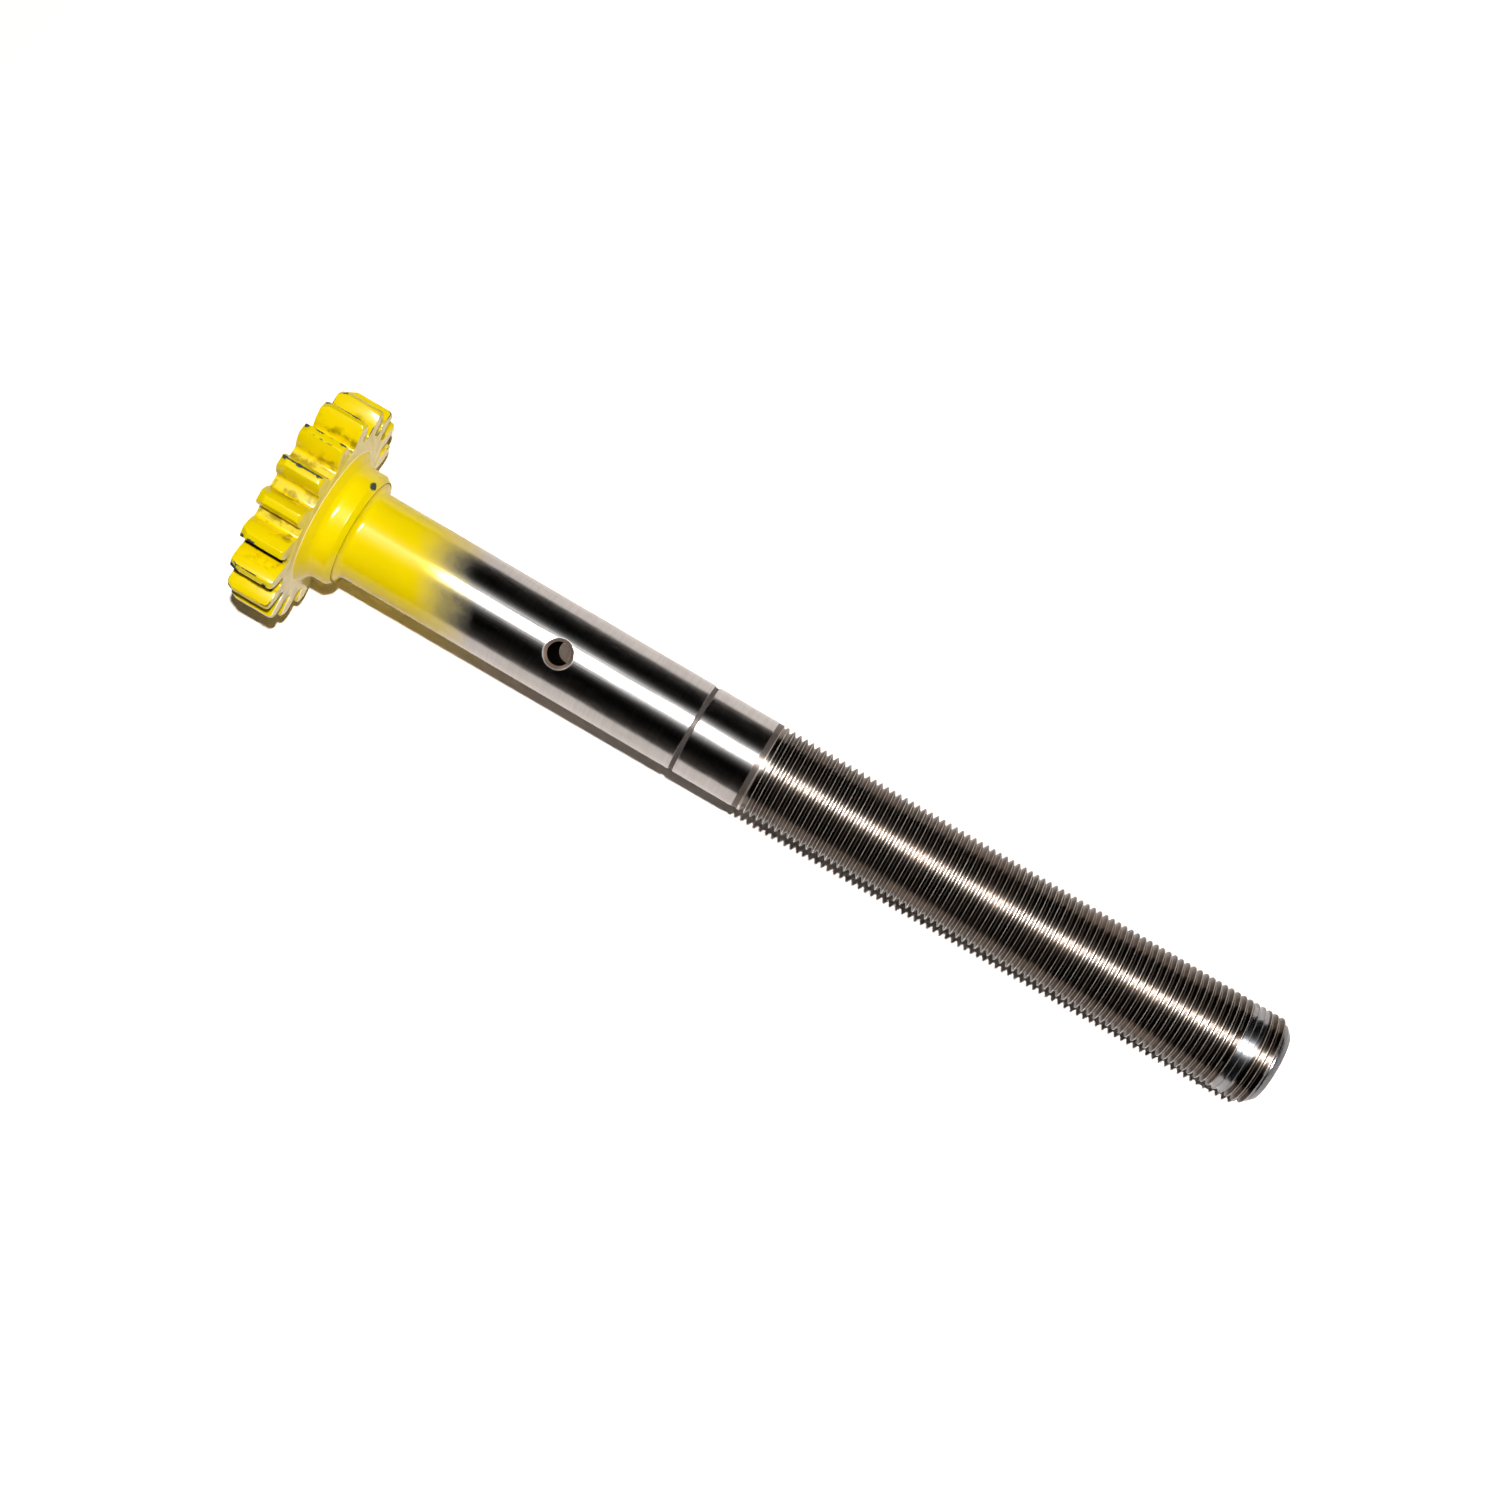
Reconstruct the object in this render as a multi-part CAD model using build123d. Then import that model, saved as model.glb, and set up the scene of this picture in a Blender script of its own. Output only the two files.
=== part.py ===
from build123d import *
from math import acos, atan2, cos, degrees, pi, radians, sin, tan
import os

# A shaft with a spur gear cut on one end, a collar behind it, a cross hole,
# a ring groove and a long threaded end. It is turned and cut from one piece of steel.
# Lengths are in millimetres. The shaft is drawn along +X with the gear's outer face
# at zero, and laid down at the end the way it rests on a table.

# Gear: full-depth involute teeth
MODULE = 5.0
TOOTH_COUNT = 18
PRESSURE_ANGLE = 20.0
GEAR_FACE_WIDTH = 20.0
DEDENDUM_FACTOR = 1.25
BACKLASH = 0.15
ROOT_FILLET = 1.6
TIP_BEVEL_LENGTH = 3.0
TIP_BEVEL_DROP = 1.6
TIP_ROUNDING = 1.8

# Collar behind the gear, joined to it by a steep flare. Its chamfer and the fillet
# at its foot take their shares of the step from the shank up to the collar.
COLLAR_DIAMETER = 52.0
COLLAR_END = 34.0
FLARE_DIAMETER = 62.8
FLARE_LENGTH = 4.0
FLARE_BLEND = 2.5
COLLAR_CHAMFER_LENGTH = 2.5
COLLAR_CHAMFER_SHARE = 1 / 3
SHANK_FILLET_SHARE = 1 / 2

# Plain shank and the land behind the groove
SHAFT_DIAMETER = 40.0
GROOVE_CENTRE = 195.5
GROOVE_WIDTH = 2.4
GROOVE_DEPTH = 0.6
GROOVE_CORNER = 0.5
THREAD_START = 225.0

# Threaded end, drawn at the size over its crests, with the run-out at its start
THREAD_ALLOWANCE = 0.05
THREAD_PITCH = 3.0
RUNOUT_DEPTH = 1.0
OVERALL_LENGTH = 472.0
END_CHAMFER = 4.5

# Cross hole with a chamfered mouth at both ends
HOLE_DIAMETER = 10.0
HOLE_CENTRE = 133.0
HOLE_CHAMFER = 1.5
HOLE_TURN = 6.0

# Centre holes in the two end faces, from which the shaft was turned and ground
CENTRE_PILOT_DIAMETER = 4.0
CENTRE_PILOT_DEPTH = 9.0
CENTRE_MOUTH_DIAMETER = 8.5
CENTRE_CONE_ANGLE = 60.0

# Sizes that follow from the ones above
PITCH_RADIUS = MODULE * TOOTH_COUNT / 2
TIP_RADIUS = PITCH_RADIUS + MODULE
ROOT_RADIUS = PITCH_RADIUS - DEDENDUM_FACTOR * MODULE
BASE_RADIUS = PITCH_RADIUS * cos(radians(PRESSURE_ANGLE))
COLLAR_RADIUS = COLLAR_DIAMETER / 2
SHAFT_RADIUS = SHAFT_DIAMETER / 2
FLARE_END = GEAR_FACE_WIDTH + FLARE_LENGTH
COLLAR_STEP = COLLAR_RADIUS - SHAFT_RADIUS
COLLAR_CHAMFER_DROP = COLLAR_STEP * COLLAR_CHAMFER_SHARE
SHANK_FILLET = COLLAR_STEP * SHANK_FILLET_SHARE
THREAD_RADIUS = (SHAFT_DIAMETER - THREAD_ALLOWANCE) / 2
THREAD_END = OVERALL_LENGTH - END_CHAMFER


def involute(angle):
    """The involute function of an angle in radians."""
    return tan(angle) - angle


def half_space_angle(radius):
    """Half the angle of the gap between two teeth at a radius, in radians."""
    at_pitch = pi / (2 * TOOTH_COUNT) + BACKLASH / (2 * PITCH_RADIUS)
    turn = acos(min(1.0, BASE_RADIUS / radius))
    return at_pitch - involute(radians(PRESSURE_ANGLE)) + involute(turn)


def flank_points(steps=5):
    """Points up one flank of a gap, from the base circle to just past the tips."""
    outer = TIP_RADIUS + 1.0
    points = []
    for step in range(steps + 1):
        radius = BASE_RADIUS + (outer - BASE_RADIUS) * (step / steps) ** 1.5
        angle = half_space_angle(radius)
        points.append((radius * sin(angle), radius * cos(angle)))
    return points


def tooth_space():
    """The gap between two teeth, cut through the gear along its axis."""
    right = flank_points()
    left = [(-x, y) for x, y in right]
    foot_angle = half_space_angle(BASE_RADIUS)
    foot = (ROOT_RADIUS * sin(foot_angle), ROOT_RADIUS * cos(foot_angle))
    with BuildPart() as gap:
        with BuildSketch(Plane.YZ.offset(-1)) as section:
            with BuildLine():
                Spline(*right)
                Line(right[0], foot)
                ThreePointArc(foot, (0, ROOT_RADIUS), (-foot[0], foot[1]))
                Line((-foot[0], foot[1]), left[0])
                Spline(*left)
                Line(left[-1], right[-1])
            make_face()
            feet = section.vertices().sort_by(Axis.Y)[:2]
            fillet(feet, ROOT_FILLET)
        extrude(amount=GEAR_FACE_WIDTH + 2)
    return gap.part


def gear_outline():
    """Corners of the half section round the gear and down its flare to the collar."""
    return [
        (0, 0),
        (0, TIP_RADIUS - TIP_BEVEL_DROP),
        (TIP_BEVEL_LENGTH, TIP_RADIUS),
        (GEAR_FACE_WIDTH, TIP_RADIUS),
        (GEAR_FACE_WIDTH, FLARE_DIAMETER / 2),
        (FLARE_END, COLLAR_RADIUS),
    ]


def collar_outline():
    """Corners of the half section from the collar's rim to the foot of the shank."""
    return [
        (COLLAR_END - COLLAR_CHAMFER_LENGTH, COLLAR_RADIUS),
        (COLLAR_END, COLLAR_RADIUS - COLLAR_CHAMFER_DROP),
        (COLLAR_END, SHAFT_RADIUS),
    ]


def shank_outline():
    """Corners of the half section along the shank's groove to the end of the land."""
    floor_radius = SHAFT_RADIUS - GROOVE_DEPTH
    near_side = GROOVE_CENTRE - GROOVE_WIDTH / 2
    far_side = GROOVE_CENTRE + GROOVE_WIDTH / 2
    return [
        (near_side, SHAFT_RADIUS),
        (near_side + GROOVE_CORNER, floor_radius),
        (far_side - GROOVE_CORNER, floor_radius),
        (far_side, SHAFT_RADIUS),
        (THREAD_START, SHAFT_RADIUS),
    ]


def thread_outline():
    """Corners of the half section over the thread's run-out, crests and end chamfer."""
    return [
        (THREAD_START + THREAD_PITCH / 2, THREAD_RADIUS - RUNOUT_DEPTH),
        (THREAD_START + THREAD_PITCH, THREAD_RADIUS),
        (THREAD_END, THREAD_RADIUS),
        (OVERALL_LENGTH, THREAD_RADIUS - END_CHAMFER),
        (OVERALL_LENGTH, 0),
    ]


def corner_at(section, x, y):
    """The corner of a flat section that lies nearest to a point."""
    return section.vertices().sort_by_distance((x, y, 0))[0]


def turned_blank():
    """The whole shaft as it comes off the lathe, before any tooth or hole is cut."""
    corners = gear_outline() + collar_outline() + shank_outline() + thread_outline()
    section = make_face(Polyline(*corners, close=True))
    section = fillet(corner_at(section, GEAR_FACE_WIDTH, TIP_RADIUS), TIP_ROUNDING)
    section = fillet(corner_at(section, FLARE_END, COLLAR_RADIUS), FLARE_BLEND)
    section = fillet(corner_at(section, COLLAR_END, SHAFT_RADIUS), SHANK_FILLET)
    return revolve(Plane.XZ * section, Axis.X, 360)


def centre_hole():
    """A centre hole that opens at the origin and goes in along +X."""
    pilot = CENTRE_PILOT_DIAMETER / 2
    mouth = CENTRE_MOUTH_DIAMETER / 2
    cone_depth = (mouth - pilot) / tan(radians(CENTRE_CONE_ANGLE / 2))
    tip_depth = CENTRE_PILOT_DEPTH + pilot * tan(radians(CENTRE_CONE_ANGLE / 2))
    outline = Polyline(
        (0, 0),
        (0, mouth),
        (cone_depth, pilot),
        (CENTRE_PILOT_DEPTH, pilot),
        (tip_depth, 0),
        close=True,
    )
    return revolve(Plane.XZ * make_face(outline), Axis.X, 360)


def cut_teeth(blank):
    """Cut every gap of the gear, one of them straight up and one straight down."""
    step = 360 / TOOTH_COUNT
    gap = tooth_space()
    gaps = [Rot(X=step * index) * gap for index in range(TOOTH_COUNT)]
    return blank - gaps


def drill_cross_hole(body):
    """Drill the hole across the shank and chamfer both of its mouths."""
    seat = Pos(X=HOLE_CENTRE) * Rot(X=HOLE_TURN)
    body = body - seat * Cylinder(HOLE_DIAMETER / 2, SHAFT_DIAMETER * 1.5)
    rims = [
        edge
        for edge in body.edges().filter_by(GeomType.CIRCLE, reverse=True)
        if abs(edge.center().X - HOLE_CENTRE) < HOLE_DIAMETER
    ]
    return chamfer(rims, HOLE_CHAMFER)


def drill_centres(body):
    """Drill the centre hole of each end face."""
    outer = centre_hole()
    inner = Pos(X=OVERALL_LENGTH) * Rot(Z=180) * centre_hole()
    return body - outer - inner


def rest_on_ground():
    """Tilt of the shaft at rest, and the height of its drawn origin above the ground.

    It lies on the inner tips of two teeth and on the thread's last crest.
    """
    gear_contact = GEAR_FACE_WIDTH - TIP_ROUNDING
    gear_depth = TIP_RADIUS * cos(half_space_angle(TIP_RADIUS))
    tilt = atan2(gear_depth - THREAD_RADIUS, THREAD_END - gear_contact)
    height = gear_contact * sin(tilt) + gear_depth * cos(tilt)
    return degrees(tilt), height


def lay_down(body):
    """Turn the shaft to its rest, centred over the origin with the ground at Z = 0."""
    tilt, height = rest_on_ground()
    body = Rot(Y=tilt) * body
    middle = body.bounding_box().center()
    return Pos(-middle.X, 0, height) * body


def gear_shaft():
    """The finished shaft in its resting place."""
    body = cut_teeth(turned_blank())
    body = drill_cross_hole(body)
    body = drill_centres(body)
    return lay_down(body)


shaft = gear_shaft()
shaft.label = "gear_shaft"
os.makedirs("parts", exist_ok=True)
export_step(shaft, "parts/gear_shaft.step")
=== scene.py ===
import math

import bmesh
import bpy
import numpy as np
from mathutils import Matrix, Vector


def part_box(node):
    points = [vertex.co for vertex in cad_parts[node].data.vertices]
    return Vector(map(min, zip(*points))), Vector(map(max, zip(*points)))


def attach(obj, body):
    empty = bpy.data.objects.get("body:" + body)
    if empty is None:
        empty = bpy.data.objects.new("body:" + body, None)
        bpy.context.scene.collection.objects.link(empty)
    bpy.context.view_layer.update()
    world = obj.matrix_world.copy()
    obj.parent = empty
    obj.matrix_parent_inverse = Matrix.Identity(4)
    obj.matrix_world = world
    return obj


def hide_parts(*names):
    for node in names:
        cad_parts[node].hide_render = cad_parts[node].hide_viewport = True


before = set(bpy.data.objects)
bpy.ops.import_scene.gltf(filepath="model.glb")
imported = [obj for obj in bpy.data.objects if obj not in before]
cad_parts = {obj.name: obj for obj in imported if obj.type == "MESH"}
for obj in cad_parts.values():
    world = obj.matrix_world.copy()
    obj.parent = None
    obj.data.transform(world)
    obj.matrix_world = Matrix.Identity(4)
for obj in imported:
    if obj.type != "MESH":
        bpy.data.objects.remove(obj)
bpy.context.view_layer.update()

bl_info = {
    "name": "Gear shaft",
    "version": (1, 0, 0),
    "blender": (4, 5, 0),
    "location": "View3D > Sidebar > Gear Shaft",
    "description": "A steel shaft with a painted gear at one end and a thread at the other",
    "category": "Object",
}

# Lengths are in metres. The shaft is modelled along +X with the gear's outer face at
# zero, and laid down at the end where the packed model lies.
NODE = "gear_shaft"
PIECE = "dressed_gear_shaft"
MM = 0.001
FULL_TURN = 2 * math.pi

# Rings of the lathe work: six for each tooth, so that no ring edge meets a tooth corner
RING_STEPS = 108
HOLE_STEPS = 64
SMOOTH_ANGLE = math.radians(24)


def a_length(name, description, default):
    """A setting that is a length."""
    return bpy.props.FloatProperty(
        name=name, description=description, default=default, unit="LENGTH")


def a_number(name, description, default):
    """A setting that is a plain number."""
    return bpy.props.FloatProperty(name=name, description=description, default=default)


def an_angle(name, description, default):
    """A setting that is an angle."""
    return bpy.props.FloatProperty(
        name=name, description=description, default=default, subtype="ANGLE")


def a_colour(name, description, default):
    """A setting that is a colour."""
    return bpy.props.FloatVectorProperty(
        name=name, description=description, default=default, size=3, subtype="COLOR",
        min=0, max=1)


class GearSizes(bpy.types.PropertyGroup):
    """Sizes of the spur gear."""

    teeth: bpy.props.IntProperty(
        name="Teeth", description="Number of teeth", default=18, min=8)
    module: a_length("Module", "Pitch diameter over the number of teeth", 5.0 * MM)
    pressure_angle: an_angle(
        "Pressure angle", "Slope of the flanks at the pitch circle", math.radians(20))
    face_width: a_length("Face width", "Width of the gear along the shaft", 20.0 * MM)
    backlash: a_length("Backlash", "What each gap is wider than a tooth", 0.15 * MM)
    root_fillet: a_length("Root fillet", "Radius at the foot of a tooth", 1.6 * MM)
    bevel_length: a_length(
        "Tip bevel length", "Length of the bevel on the outer tip ends", 3.0 * MM)
    bevel_drop: a_length(
        "Tip bevel drop", "Depth of the bevel on the outer tip ends", 1.6 * MM)
    tip_rounding: a_length("Tip rounding", "Radius on the inner tip ends", 1.8 * MM)
    soft_edge: a_length(
        "Painted edge", "Width of the edges as the paint rounds them", 0.32 * MM)


class ShankSizes(bpy.types.PropertyGroup):
    """Sizes of the flare, the collar and the plain shank."""

    collar_diameter: a_length("Collar diameter", "Diameter of the collar", 52.0 * MM)
    collar_end: a_length("Collar end", "Where the collar's end face lies", 34.0 * MM)
    collar_chamfer: bpy.props.FloatVectorProperty(
        name="Collar chamfer", description="Length and depth of the collar's chamfer",
        default=(2.5 * MM, 2.0 * MM), size=2, unit="LENGTH")
    flare_diameter: a_length("Flare diameter", "Diameter of the flare at the gear", 62.8 * MM)
    flare_length: a_length(
        "Flare length", "Length of the flare from the gear to the collar", 4.0 * MM)
    flare_blend: a_length(
        "Flare blend", "Radius between the flare and the collar, under paint", 5.0 * MM)
    foot_fillet: a_length(
        "Foot fillet", "Radius between the collar's face and the shank", 3.0 * MM)
    diameter: a_length("Shaft diameter", "Diameter of the ground shank and land", 40.0 * MM)
    groove: bpy.props.FloatVectorProperty(
        name="Ring groove", description="Place, width and depth of the ring groove",
        default=(195.5 * MM, 2.4 * MM, 0.6 * MM), size=3, unit="LENGTH")
    hole_diameter: a_length(
        "Cross hole diameter", "Diameter of the hole across the shank", 10.0 * MM)
    hole_centre: a_length("Cross hole place", "Where the hole crosses the shank", 133.0 * MM)
    hole_chamfer: a_length(
        "Cross hole chamfer", "Width of the chamfer round both mouths", 1.5 * MM)
    hole_turn: an_angle(
        "Cross hole turn", "How far the hole is turned from upright", math.radians(6))


class ThreadSizes(bpy.types.PropertyGroup):
    """Sizes of the threaded end."""

    start: a_length("Start", "Where the land ends and the thread starts", 225.0 * MM)
    end: a_length("End", "The shaft's overall length", 472.0 * MM)
    diameter: a_length("Diameter", "Diameter over the crests", 39.95 * MM)
    pitch: a_length("Pitch", "Distance from crest to crest", 3.0 * MM)
    depth: a_length("Depth", "Depth of the thread", 1.84 * MM)
    root_width: a_length("Root width", "Width of the flat at the root", 0.5 * MM)
    chamfer: a_length("End chamfer", "Size of the chamfer at the free end", 4.5 * MM)


class PaintLook(bpy.types.PropertyGroup):
    """Colours of the gear's paint."""

    colour: a_colour("Paint", "The gloss paint", (0.97, 0.75, 0.001))
    worn: a_colour(
        "Chipped", "Bare, darkened steel where the paint has chipped", (0.065, 0.08, 0.078))
    fade_start: a_length("Overspray start", "Where the paint starts to thin out", 62.0 * MM)
    fade_end: a_length("Overspray end", "Where the last of the paint ends", 93.0 * MM)


class SteelLook(bpy.types.PropertyGroup):
    """Colours of the bare steel."""

    ground: a_colour("Ground steel", "The ground shank and land", (0.66, 0.645, 0.635))
    turned: a_colour("Thread steel", "The oiled steel of the thread", (0.62, 0.54, 0.47))
    oil: a_colour(
        "Old oil", "The brown film in the roots of the thread", (0.05, 0.04, 0.034))


class StudioSetup(bpy.types.PropertyGroup):
    """The camera, the lamps and the floor."""

    camera_place: bpy.props.FloatVectorProperty(
        name="Camera place", description="Where the camera stands", size=3,
        default=(84.3 * MM, -18.2 * MM, 1120.2 * MM), subtype="TRANSLATION", unit="LENGTH")
    camera_turn: bpy.props.FloatVectorProperty(
        name="Camera turn", description="The camera's turn about X, Y and Z", size=3,
        default=(math.radians(3.658), math.radians(3.912), math.radians(30.502)),
        subtype="EULER", unit="ROTATION")
    lens: a_number("Lens", "Focal length in millimetres", 62.8)
    lamp_height: a_length("Lamp height", "Height of the lamp over the floor", 2.6)
    lamp_lean: an_angle(
        "Lamp lean", "How far the lamp stands off the upright", math.radians(5.3))
    gloss_lean: an_angle(
        "Gloss lamp lean", "How far the lamp of the highlights stands off the upright",
        math.radians(9))
    lamp_place: a_length("Lamp place", "How far the lamp stands along the shaft", 0.36)
    lamp_size: a_length("Lamp size", "Diameter of the lamp", 0.06)
    gloss_size: bpy.props.FloatVectorProperty(
        name="Gloss lamp size", description="Length and width of the lamp of the highlights",
        default=(1.3, 0.42), size=2, unit="LENGTH")
    lamp_level: a_number("Lamp level", "How bright a white floor comes out", 0.98)
    gloss_level: a_number("Gloss lamp level", "Strength of the lamp of the highlights", 1.5)
    floor_size: a_length("Floor size", "Diameter of the floor", 14.0)
    ambient: a_number("Room light", "Strength of the dim light of the room", 0.03)
    ceiling_glow: a_number("Ceiling glow", "Strength of the soft light round the lamp", 6.5)
    glow_spread: an_angle(
        "Glow spread", "How far the soft light spreads round the lamp", math.radians(10.6))
    table_colour: a_colour("Table", "The warm white table top", (0.86, 0.79, 0.75))


# Making and choosing


def deselect_all():
    """Nothing stays selected, neither the packed node nor an earlier piece."""
    if bpy.context.object and bpy.context.object.mode != "OBJECT":
        bpy.ops.object.mode_set(mode="OBJECT")
    for item in list(bpy.context.selected_objects):
        item.select_set(False)


def choose(*items):
    """Only these objects are selected, and the first of them is active."""
    deselect_all()
    for item in items:
        item.select_set(True)
    bpy.context.view_layer.objects.active = items[0]


def edit(item):
    """Open an object in edit mode, with nothing in it selected."""
    choose(item)
    bpy.ops.object.mode_set(mode="EDIT")
    bpy.ops.mesh.select_all(action="DESELECT")
    return bmesh.from_edit_mesh(item.data)


def leave_edit():
    """Back to object mode."""
    bpy.ops.object.mode_set(mode="OBJECT")


def edit_all(mode):
    """Open the active object in edit mode with all of it selected."""
    bpy.ops.object.transform_apply(location=True, rotation=True, scale=True)
    bpy.ops.object.mode_set(mode="EDIT")
    bpy.ops.mesh.select_mode(type=mode)
    bpy.ops.mesh.select_all(action="SELECT")


def draw_on(axis_move, grow, centre):
    """Extrude what is selected by a step and resize its new end about a centre."""
    bpy.ops.mesh.extrude_region_move(TRANSFORM_OT_translate={"value": axis_move})
    bpy.ops.transform.resize(value=grow, center_override=centre)


def select_edges(item, wanted):
    """In edit mode, select the edges that a test picks out."""
    mesh = edit(item)
    bpy.ops.mesh.select_mode(type="EDGE")
    for edge in mesh.edges:
        edge.select_set(bool(wanted(edge)))
    bmesh.update_edit_mesh(item.data)


def select_faces(item, wanted):
    """In edit mode, select the faces that a test picks out."""
    mesh = edit(item)
    bpy.ops.mesh.select_mode(type="FACE")
    for face in mesh.faces:
        face.select_set(bool(wanted(face)))
    bmesh.update_edit_mesh(item.data)


def points_of(item):
    """All of a mesh's points as an array."""
    points = np.empty(len(item.data.vertices) * 3)
    item.data.vertices.foreach_get("co", points)
    return points.reshape(-1, 3)


def set_points(item, points):
    """Move a mesh's points to the places in an array."""
    item.data.vertices.foreach_set("co", points.ravel())
    item.data.update()


def recalculate_normals(item):
    """Merge doubles and turn every face outwards."""
    edit(item)
    bpy.ops.mesh.select_all(action="SELECT")
    bpy.ops.mesh.remove_doubles(threshold=0.002 * MM)
    bpy.ops.mesh.normals_make_consistent(inside=False)
    leave_edit()


def turn_profile(name, profile, steps):
    """A turned body along X: a filled circle is drawn from ring to ring."""
    deselect_all()
    along, radius = profile[0]
    bpy.ops.mesh.primitive_circle_add(
        vertices=steps, radius=radius, fill_type="NGON",
        location=(along, 0, 0), rotation=(0, math.pi / 2, 0))
    body = bpy.context.object
    body.name = name
    edit_all("FACE")
    for next_along, next_radius in profile[1:]:
        grow = next_radius / radius
        draw_on((next_along - along, 0, 0), (1, grow, grow), (next_along, 0, 0))
        along, radius = next_along, next_radius
    leave_edit()
    recalculate_normals(body)
    return body


def cut_away(body, cutter):
    """Cut one closed mesh from another and delete the cutter."""
    choose(body)
    bpy.ops.object.modifier_add(type="BOOLEAN")
    cut = body.modifiers[-1]
    cut.operation = "DIFFERENCE"
    cut.solver = "EXACT"
    cut.object = cutter
    bpy.ops.object.modifier_apply(modifier=cut.name)
    choose(cutter)
    bpy.ops.object.delete()


# Profiles of the lathe work


def rounded(before, corner, after, radius, steps):
    """Points of the arc that rounds a corner of a profile."""
    before, corner, after = Vector(before), Vector(corner), Vector(after)
    back, on = (before - corner).normalized(), (after - corner).normalized()
    half = back.angle(on) / 2
    centre = corner + (back + on).normalized() * radius / math.sin(half)
    first = corner + back * radius / math.tan(half) - centre
    last = corner + on * radius / math.tan(half) - centre
    turn = first.angle_signed(last)
    arc = []
    for step in range(steps + 1):
        spoke = Matrix.Rotation(-turn * step / steps, 2) @ first
        arc.append(tuple(centre + spoke))
    return arc


def pitch_radius(gear):
    """Radius of the gear's pitch circle."""
    return gear.module * gear.teeth / 2


def tip_radius(gear):
    """Radius over the tips of the teeth."""
    return pitch_radius(gear) + gear.module


def root_radius(gear):
    """Radius of the floors between the teeth."""
    return pitch_radius(gear) - 1.25 * gear.module


def gear_profile(gear):
    """Round the gear's blank, from its outer face to its inner one."""
    tip = tip_radius(gear)
    corner = (gear.face_width, tip)
    return [
        (0, tip - gear.bevel_drop),
        (gear.bevel_length, tip),
        *rounded((0, tip), corner, (gear.face_width, 0), gear.tip_rounding, 6),
    ]


def collar_profile(gear, shank):
    """Down the flare, along the collar and down its end face to the shank."""
    radius = shank.collar_diameter / 2
    flare_start = (gear.face_width, shank.flare_diameter / 2)
    flare_end = (gear.face_width + shank.flare_length, radius)
    chamfer_start = (shank.collar_end - shank.collar_chamfer[0], radius)
    chamfer_end = (shank.collar_end, radius - shank.collar_chamfer[1])
    foot = (shank.collar_end, shank.diameter / 2)
    on_shank = (shank.collar_end * 2, shank.diameter / 2)
    return [
        flare_start,
        *rounded(flare_start, flare_end, chamfer_start, shank.flare_blend, 8),
        *rounded(flare_end, chamfer_start, chamfer_end, 0.7 * MM, 4),
        *rounded(chamfer_start, chamfer_end, foot, 0.35 * MM, 4),
        *rounded(chamfer_end, foot, on_shank, shank.foot_fillet, 8),
    ]


def shank_profile(shank, thread):
    """Along the shank, through its ring groove and on to the end of the land."""
    radius = shank.diameter / 2
    centre, width, depth = shank.groove
    corner = 0.5 * MM
    return [
        (centre - width / 2, radius),
        (centre - width / 2 + corner, radius - depth),
        (centre + width / 2 - corner, radius - depth),
        (centre + width / 2, radius),
        (thread.start, radius),
    ]


def centre_hole_profile():
    """From the bottom of an end face's centre hole out to its mouth."""
    pilot, mouth, depth = 2.0 * MM, 4.25 * MM, 9.0 * MM
    cone = (mouth - pilot) / math.tan(math.radians(30))
    return [(depth, pilot), (cone, pilot), (0, mouth)]


# Gear


def involute(angle):
    """The involute function."""
    return math.tan(angle) - angle


def half_gap_angle(gear, radius):
    """Half the angle of the gap between two teeth at a radius."""
    base_radius = pitch_radius(gear) * math.cos(gear.pressure_angle)
    at_pitch = math.pi / (2 * gear.teeth) + gear.backlash / (2 * pitch_radius(gear))
    turn = math.acos(min(1.0, base_radius / radius))
    return at_pitch - involute(gear.pressure_angle) + involute(turn)


def gap_profile(gear):
    """Half widths and heights of a tooth gap, from its floor to past the tips."""
    root = root_radius(gear)
    base = pitch_radius(gear) * math.cos(gear.pressure_angle)
    top = pitch_radius(gear) + gear.module * 1.3
    wall = half_gap_angle(gear, base)
    fillet = gear.root_fillet
    foot = wall - math.asin(fillet / (root + fillet))
    middle = Vector((math.sin(foot), math.cos(foot))) * (root + fillet)
    points = []
    for step in range(7):
        turn = math.radians(-90) - foot + (math.radians(90) + foot - wall) * step / 6
        points.append(middle + Vector((math.cos(turn), math.sin(turn))) * fillet)
    for step in range(13):
        radius = base + (top - base) * (step / 12) ** 1.3
        angle = half_gap_angle(gear, radius)
        points.append(Vector((math.sin(angle), math.cos(angle))) * radius)
    return points


def make_gap_cutter(gear):
    """One tooth gap drawn up from its floor, then spun round the axis."""
    profile = gap_profile(gear)
    length = gear.face_width + 2 * MM
    middle = gear.face_width / 2
    deselect_all()
    bpy.ops.mesh.primitive_plane_add(size=1, location=(middle, 0, profile[0].y))
    cutter = bpy.context.object
    cutter.scale = (length, 2 * profile[0].x, 1)
    edit_all("FACE")
    for here, there in zip(profile, profile[1:]):
        draw_on((0, 0, there.y - here.y), (1, there.x / here.x, 1), (middle, 0, there.y))
    bpy.ops.mesh.select_all(action="SELECT")
    bpy.ops.mesh.normals_make_consistent(inside=False)
    bpy.ops.mesh.spin(
        steps=gear.teeth - 1, dupli=True,
        angle=FULL_TURN * (gear.teeth - 1) / gear.teeth,
        center=(0, 0, 0), axis=(1, 0, 0))
    leave_edit()
    return cutter


def merge_flat_faces(body, gear):
    """Join the flat faces of the gear that the cuts left in pieces."""
    def on_an_end(face):
        centre = face.calc_center_median()
        return abs(face.normal.x) > 0.9999 and centre.x < gear.face_width + 0.1 * MM
    select_faces(body, on_an_end)
    bpy.ops.mesh.dissolve_limited(angle_limit=math.radians(0.5))
    leave_edit()


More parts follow.
